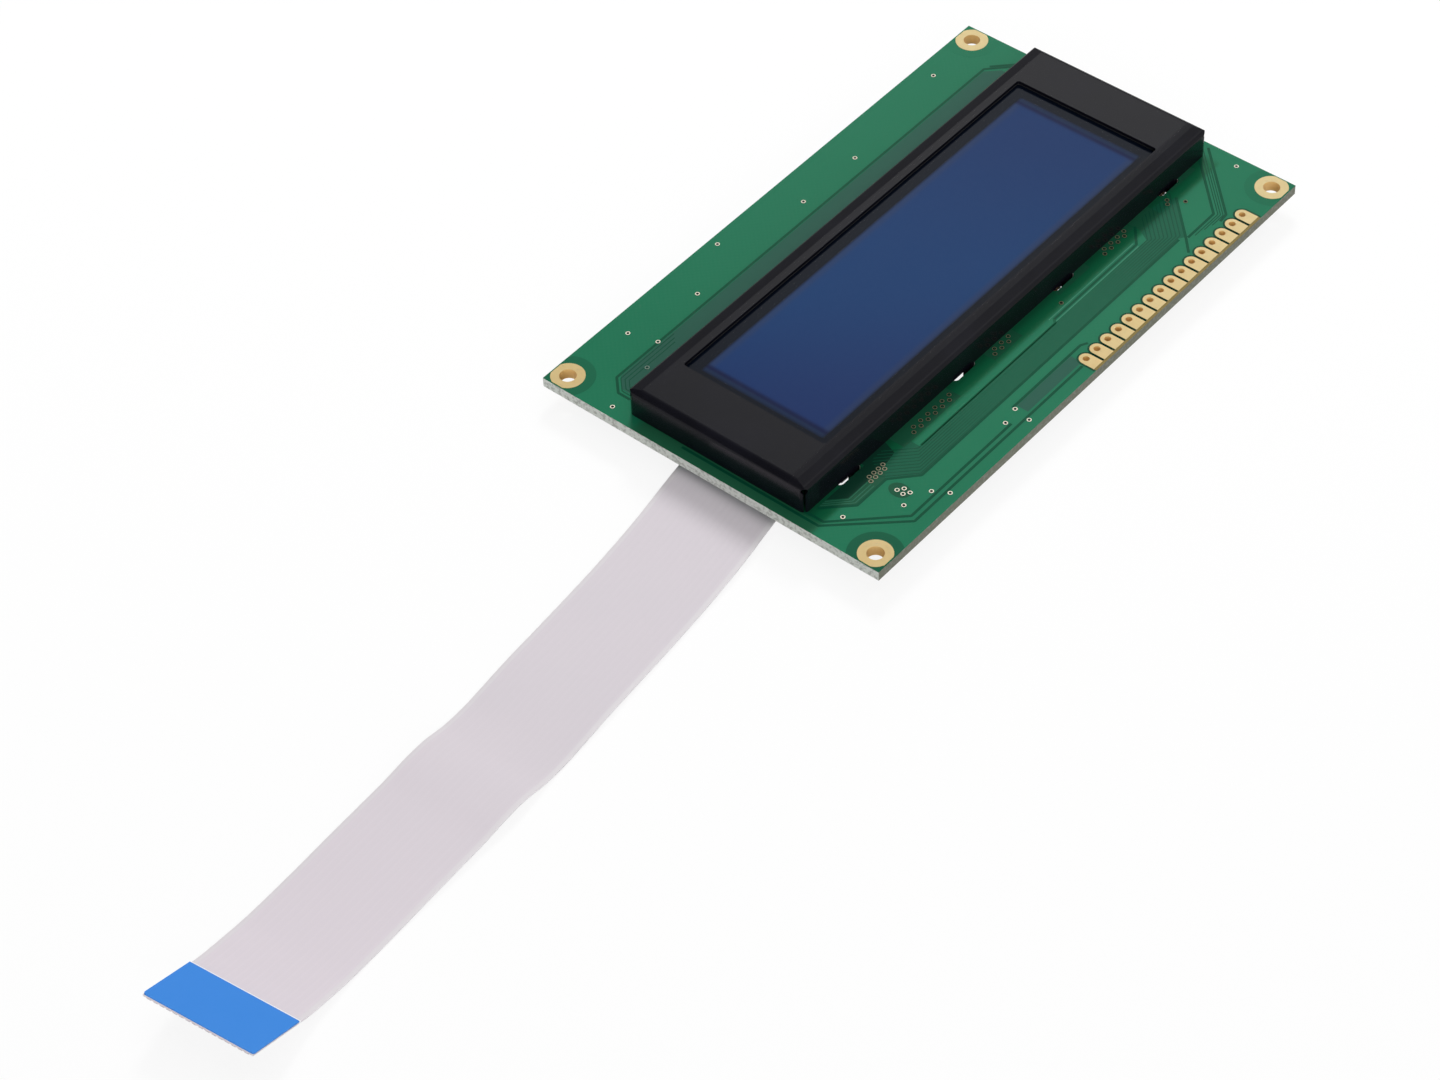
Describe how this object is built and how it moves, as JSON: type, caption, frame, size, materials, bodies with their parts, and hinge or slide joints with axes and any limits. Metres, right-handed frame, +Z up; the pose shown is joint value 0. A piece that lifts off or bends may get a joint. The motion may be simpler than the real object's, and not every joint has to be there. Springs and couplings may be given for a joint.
{
  "type": "graphic display module",
  "caption": "Flat graphic display module: a folded black bezel frames a blue panel on a green circuit board with corner holes, gold header pads and a flat ribbon cable.",
  "frame": {"origin": "under the middle of the board, on the surface that the turned bezel tabs stand on", "axes": "+X along the board, away from the ribbon cable; +Y across the board, away from the row of header pads; +Z up out of the display face"},
  "size_m": [0.2087, 0.06, 0.0091],
  "materials": {
    "board_mask": "semi-gloss green solder mask on a woven laminate",
    "gold_plating": "pale immersion gold",
    "bezel_black": "satin black coating on folded sheet steel",
    "gasket_foam": "black foam",
    "display_film": "smooth polariser film",
    "panel_glass": "clear thin glass",
    "pixel_blue": "thin deposited layer",
    "dryer_white": "matt drying sheet",
    "tail_amber": "amber film",
    "chip_resin": "smooth cast resin",
    "socket_ivory": "moulded ivory plastic",
    "tinned_metal": "tinned copper",
    "ribbon_film": "satin pale grey film over flat conductors",
    "stiffener_blue": "smooth blue film",
    "moulded_black": "moulded epoxy",
    "ferrite_grey": "sintered ferrite",
    "moulded_yellow": "moulded epoxy",
    "ceramic_tan": "fired ceramic"
  },
  "bodies": {
    "root": {"circuit_board": "board_mask", "mounting_lands": "gold_plating", "header_pads": "gold_plating", "via_plating": "gold_plating", "bezel": "bezel_black", "window_gasket": "gasket_foam", "polariser_film": "display_film", "front_glass": "panel_glass", "pixel_layer": "pixel_blue", "rear_glass": "panel_glass", "drying_sheet": "dryer_white", "panel_cushion": "gasket_foam", "panel_tail": "tail_amber", "chip_covers": "chip_resin", "ribbon_socket": "socket_ivory", "socket_springs": "tinned_metal", "socket_anchors": "tinned_metal", "ribbon_cable": "ribbon_film", "ribbon_stiffeners": "stiffener_blue", "ribbon_fingers": "tinned_metal", "converter_chip": "moulded_black", "converter_leads": "tinned_metal", "power_inductor": "ferrite_grey", "inductor_terminals": "tinned_metal", "rectifier_diode": "moulded_black", "diode_leads": "tinned_metal", "reservoir_capacitor": "moulded_yellow", "reservoir_leads": "tinned_metal", "ceramic_capacitors": "ceramic_tan", "capacitor_ends": "tinned_metal", "chip_resistors": "moulded_black", "resistor_ends": "tinned_metal"}
  },
  "joints": []
}
